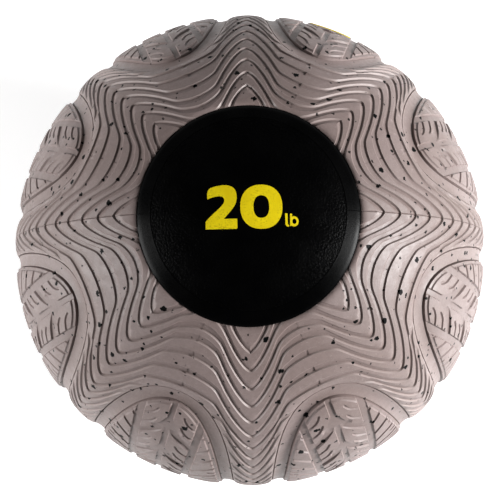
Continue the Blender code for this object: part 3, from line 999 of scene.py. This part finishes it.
def flecks(nodes, cell, kept, smallest, largest, warp):
    """Scattered rubber granules: 1 on a granule and 0 off it. kept is the share of cells that hold one."""
    shake = nodes.noise(1.1 / largest, 2.0, 0.6)["Color"]
    moved = nodes.add("ShaderNodeVectorMath", {0: shake, 1: (0.5, 0.5, 0.5)}, operation="SUBTRACT").outputs[0]
    moved = nodes.add("ShaderNodeVectorMath", {0: moved, "Scale": warp}, operation="SCALE").outputs[0]
    place = nodes.add("ShaderNodeVectorMath", {0: nodes.place, 1: moved}, operation="ADD").outputs[0]
    cells = nodes.add("ShaderNodeTexVoronoi", {"Vector": place, "Scale": 1 / cell}, feature="F1").outputs
    picked = nodes.add("ShaderNodeSeparateColor", {"Color": cells["Color"]}).outputs
    size = nodes.spread(picked["Green"], 0, 1, smallest / cell, largest / cell)
    held = nodes.math("GREATER_THAN", picked["Red"], 1 - kept)
    near = nodes.math("LESS_THAN", cells["Distance"], size)
    return nodes.math("MULTIPLY", near, held)


def cover_material():
    """Mauve-grey rubber with recycled dark granules, a cloudy tone, painted shade in the grooves and a
    painted highlight on their steep outer walls.
    """
    nodes = Nodes("cover_rubber")
    cloud = nodes.spread(nodes.noise(16, 3.0, 0.55)["Fac"], 0.35, 0.65)
    base = nodes.mix(cloud, *COVER_TONES)
    speckle = nodes.spread(nodes.noise(520, 3.0, 0.6)["Fac"], 0.38, 0.62)
    base = nodes.mix(nodes.math("MULTIPLY", speckle, 0.25), base, COVER_SPECKLE)
    pale = nodes.spread(nodes.noise(1500, 2.0, 0.5)["Fac"], 0.60, 0.72)
    base = nodes.mix(nodes.math("MULTIPLY", pale, 0.35), base, COVER_PALE_GRAIN)
    groove = nodes.add("ShaderNodeAttribute", attribute_name="groove").outputs["Fac"]
    # Painted shade in the relief, darker where the groove value is higher
    base = nodes.mix(nodes.spread(groove, 0.10, 0.60, 0.0, 0.30), base, PAINTED_RELIEF_SHADE)
    # Painted highlight on the grooves' steep outer walls, where the groove value is negative
    base = nodes.mix(nodes.spread(groove, -0.8, 0.0, 0.45, 0.0), base, PAINTED_WALL_HIGHLIGHT)
    grains = nodes.math("MAXIMUM", flecks(nodes, *LARGE_FLECKS), flecks(nodes, *SMALL_FLECKS))
    tint = nodes.mix(nodes.noise(90)["Fac"], *FLECK_TONES)
    base = nodes.mix(grains, base, tint)
    grain = nodes.noise(1300, 3.0, 0.6)["Fac"]
    waves = nodes.noise(230, 2.0, 0.5)["Fac"]
    height = nodes.math("ADD", grain, nodes.math("MULTIPLY", waves, 0.8))
    height = nodes.math("SUBTRACT", height, nodes.math("MULTIPLY", grains, 0.5))
    roughness = nodes.spread(nodes.math("ADD", grain, waves), 0.7, 1.3, 0.44, 0.58)
    sheen = nodes.math("MULTIPLY", nodes.math("SUBTRACT", 1.0, nodes.math("MULTIPLY", grains, 0.9)), 0.45)
    nodes.tree.links.new(sheen, nodes.shader.inputs["Specular IOR Level"])
    return nodes.finish(base, roughness, nodes.bump(height, 0.35, 0.00012), None)


def cap_material():
    """Black moulded rubber: a leathery grain inside, a smooth and glossier ring near the edge."""
    nodes = Nodes("cap_rubber")
    ring = nodes.add("ShaderNodeAttribute", attribute_name="groove").outputs["Fac"]
    grained = nodes.math("SUBTRACT", 1.0, ring)
    cells = nodes.add("ShaderNodeTexVoronoi", {"Vector": nodes.place, "Scale": 1100.0}, feature="F1").outputs
    fine = nodes.noise(2400, 3.0, 0.6)["Fac"]
    wide = nodes.noise(60, 3.0, 0.5)["Fac"]
    height = nodes.math("ADD", cells["Distance"], nodes.math("MULTIPLY", fine, 0.7))
    height = nodes.math("MULTIPLY", height, nodes.math("ADD", nodes.math("MULTIPLY", grained, 0.94), 0.06))
    colour = nodes.mix(nodes.spread(wide, 0.3, 0.7), *CAP_TONES)
    pale = nodes.math("MULTIPLY", nodes.spread(fine, 0.62, 0.75, 0.0, 0.4), grained)
    colour = nodes.mix(pale, colour, CAP_PALE_GRAIN)
    roughness = nodes.spread(nodes.math("ADD", fine, wide), 0.7, 1.3, 0.22, 0.34)
    return nodes.finish(colour, roughness, nodes.bump(height, 0.8, 0.00016), 0.05)


def ink_material():
    """Yellow screen-printed ink, thinned by wear over the grain beneath it."""
    nodes = Nodes("marking_yellow")
    fine = nodes.noise(2200, 3.0, 0.6)["Fac"]
    wide = nodes.noise(140, 2.0, 0.5)["Fac"]
    colour = nodes.mix(nodes.spread(wide, 0.3, 0.7), *INK_TONES)
    overlay_share = nodes.spread(nodes.math("ADD", fine, nodes.math("MULTIPLY", wide, 0.3)), 0.70, 0.86, 0.0, 0.80)
    colour = nodes.mix(overlay_share, colour, INK_WORN)
    roughness = nodes.spread(fine, 0.3, 0.7, 0.45, 0.60)
    return nodes.finish(colour, roughness, nodes.bump(fine, 0.5, 0.00010), 0.12)


def plain_rubber(name, tones, roughness, grain_scale, grain):
    """Moulded rubber for the inner pieces: mottled tone, fine grain."""
    nodes = Nodes(name)
    wide = nodes.noise(70, 4.0, 0.6)["Fac"]
    fine = nodes.noise(grain_scale, 3.0, 0.6)["Fac"]
    colour = nodes.mix(nodes.spread(nodes.math("ADD", wide, fine), 0.7, 1.3), *tones)
    rough = nodes.spread(fine, 0.3, 0.7, roughness - 0.06, roughness + 0.06)
    return nodes.finish(colour, rough, nodes.bump(fine, 0.6, grain), 0.4)


def dress(piece, material):
    piece.data.materials.clear()
    piece.data.materials.append(material)


# ---------------------------------------------------------------------------
# Floor, lights and camera
# ---------------------------------------------------------------------------


def make_floor():
    nodes = Nodes("floor_paper")
    tone = nodes.spread(nodes.noise(3.0)["Fac"], 0.3, 0.7)
    colour = nodes.mix(tone, *FLOOR_TONES)
    rough = nodes.spread(nodes.noise(200)["Fac"], 0.3, 0.7, 0.85, 0.95)
    material = nodes.finish(colour, rough, nodes.bump(nodes.noise(400)["Fac"], 0.1, 0.0002), 0.1)
    nodes.shader.inputs["Emission Color"].default_value = (1, 1, 1, 1)
    nodes.shader.inputs["Emission Strength"].default_value = FLOOR_GLOW
    size = FLOOR_HALF_SIZE
    height = FLOOR_HEIGHT - FLOOR_GAP
    corners = [(-size, -size, height), (size, -size, height), (size, size, height), (-size, size, height)]
    data = bpy.data.meshes.new("floor")
    data.from_pydata(corners, [], [(0, 1, 2, 3)])
    floor = bpy.data.objects.new("floor", data)
    bpy.context.scene.collection.objects.link(floor)
    dress(floor, material)


def area_light(name, azimuth, elevation, distance, size, power):
    data = bpy.data.lights.new(name, "AREA")
    data.shape = "SQUARE"
    data.size = size
    data.energy = power
    light = bpy.data.objects.new(name, data)
    away = Vector(on_ball(1.0, 90 - elevation, azimuth))
    light.location = away * distance
    light.rotation_mode = "QUATERNION"
    light.rotation_quaternion = away.to_track_quat("Z", "Y")
    bpy.context.scene.collection.objects.link(light)


def make_lights():
    """Two low soft boxes, the right one stronger, in a white room with a dim ceiling."""
    area_light("right_box", *RIGHT_BOX)
    area_light("left_box", *LEFT_BOX)
    world = bpy.data.worlds.new("studio")
    world.use_nodes = True
    nodes = world.node_tree.nodes
    links = world.node_tree.links
    background = nodes["Background"]
    place = nodes.new("ShaderNodeTexCoord")
    parts = nodes.new("ShaderNodeSeparateXYZ")
    fade = nodes.new("ShaderNodeMapRange")
    fade.interpolation_type = "SMOOTHSTEP"
    for name, value in zip(("From Min", "From Max", "To Min", "To Max"), ROOM_FADE):
        fade.inputs[name].default_value = value
    links.new(place.outputs["Generated"], parts.inputs["Vector"])
    links.new(parts.outputs["Z"], fade.inputs["Value"])
    links.new(fade.outputs["Result"], background.inputs["Strength"])
    background.inputs["Color"].default_value = (1, 1, 1, 1)
    bpy.context.scene.world = world
    bpy.context.scene.view_settings.view_transform = "Standard"


def make_camera():
    """Looks down on the front cap from slightly in front of it."""
    data = bpy.data.cameras.new("camera")
    data.lens = CAMERA_LENS
    data.sensor_width = 36
    data.shift_x, data.shift_y = CAMERA_SHIFT
    camera = bpy.data.objects.new("camera", data)
    bpy.context.scene.collection.objects.link(camera)
    turn = Matrix.Rotation(math.radians(-CAMERA_TURN), 4, "Z")
    tilt = Matrix.Rotation(math.radians(CAMERA_TILT), 4, "X")
    roll = Matrix.Rotation(math.radians(-CAMERA_ROLL), 4, "Z")
    back = Matrix.Translation((0, 0, CAMERA_DISTANCE * BALL_RADIUS))
    pitch = Matrix.Rotation(math.radians(CAMERA_PITCH), 4, "X")
    camera.matrix_world = turn @ tilt @ roll @ back @ pitch
    bpy.context.scene.camera = camera


# ---------------------------------------------------------------------------
# Assembly
# ---------------------------------------------------------------------------


def place(pieces, material, nodes, slot, body="ball"):
    for piece in pieces:
        dress(piece, material)
        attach(piece, body)
        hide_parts(*nodes)


def main():
    make_camera()
    make_lights()
    make_floor()
    halves = ("cover_half_near", "cover_half_far")
    place(make_star_halves() + make_pads(), cover_material(), halves, "cover_rubber")
    cap = cap_material()
    place([make_cap("cap_front_dome", 1)], cap, ("cap_front",), "cap_rubber")
    place([make_cap("cap_back_dome", -1)], cap, ("cap_back",), "cap_rubber")
    ink = ink_material()
    place([make_numeral("numeral_two", numeral_two())], ink, ("digit_two",), "marking_yellow")
    place([make_numeral("numeral_zero", numeral_zero())], ink, ("digit_zero",), "marking_yellow")
    place([make_numeral("unit_l", letter_l())], ink, ("letter_l",), "marking_yellow")
    place([make_numeral("unit_b", letter_b())], ink, ("letter_b",), "marking_yellow")
    place([make_pad_film()], ink, ("pad_marking",), "marking_yellow")
    valve = plain_rubber("valve_rubber", VALVE_TONES, 0.50, 1500, 0.00005)
    place([make_valve_housing()], valve, ("valve_housing",), "valve_rubber")
    place([make_valve_plug()], valve, ("valve_core",), "valve_rubber", "valve_plug")
    core = plain_rubber("core_rubber", CORE_TONES, 0.75, 500, 0.0004)
    for name in ("core_half_near", "core_half_far"):
        dress(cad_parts[name], core)
    bladder = plain_rubber("bladder_rubber", BLADDER_TONES, 0.55, 900, 0.0001)
    dress(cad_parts["bladder"], bladder)


main()
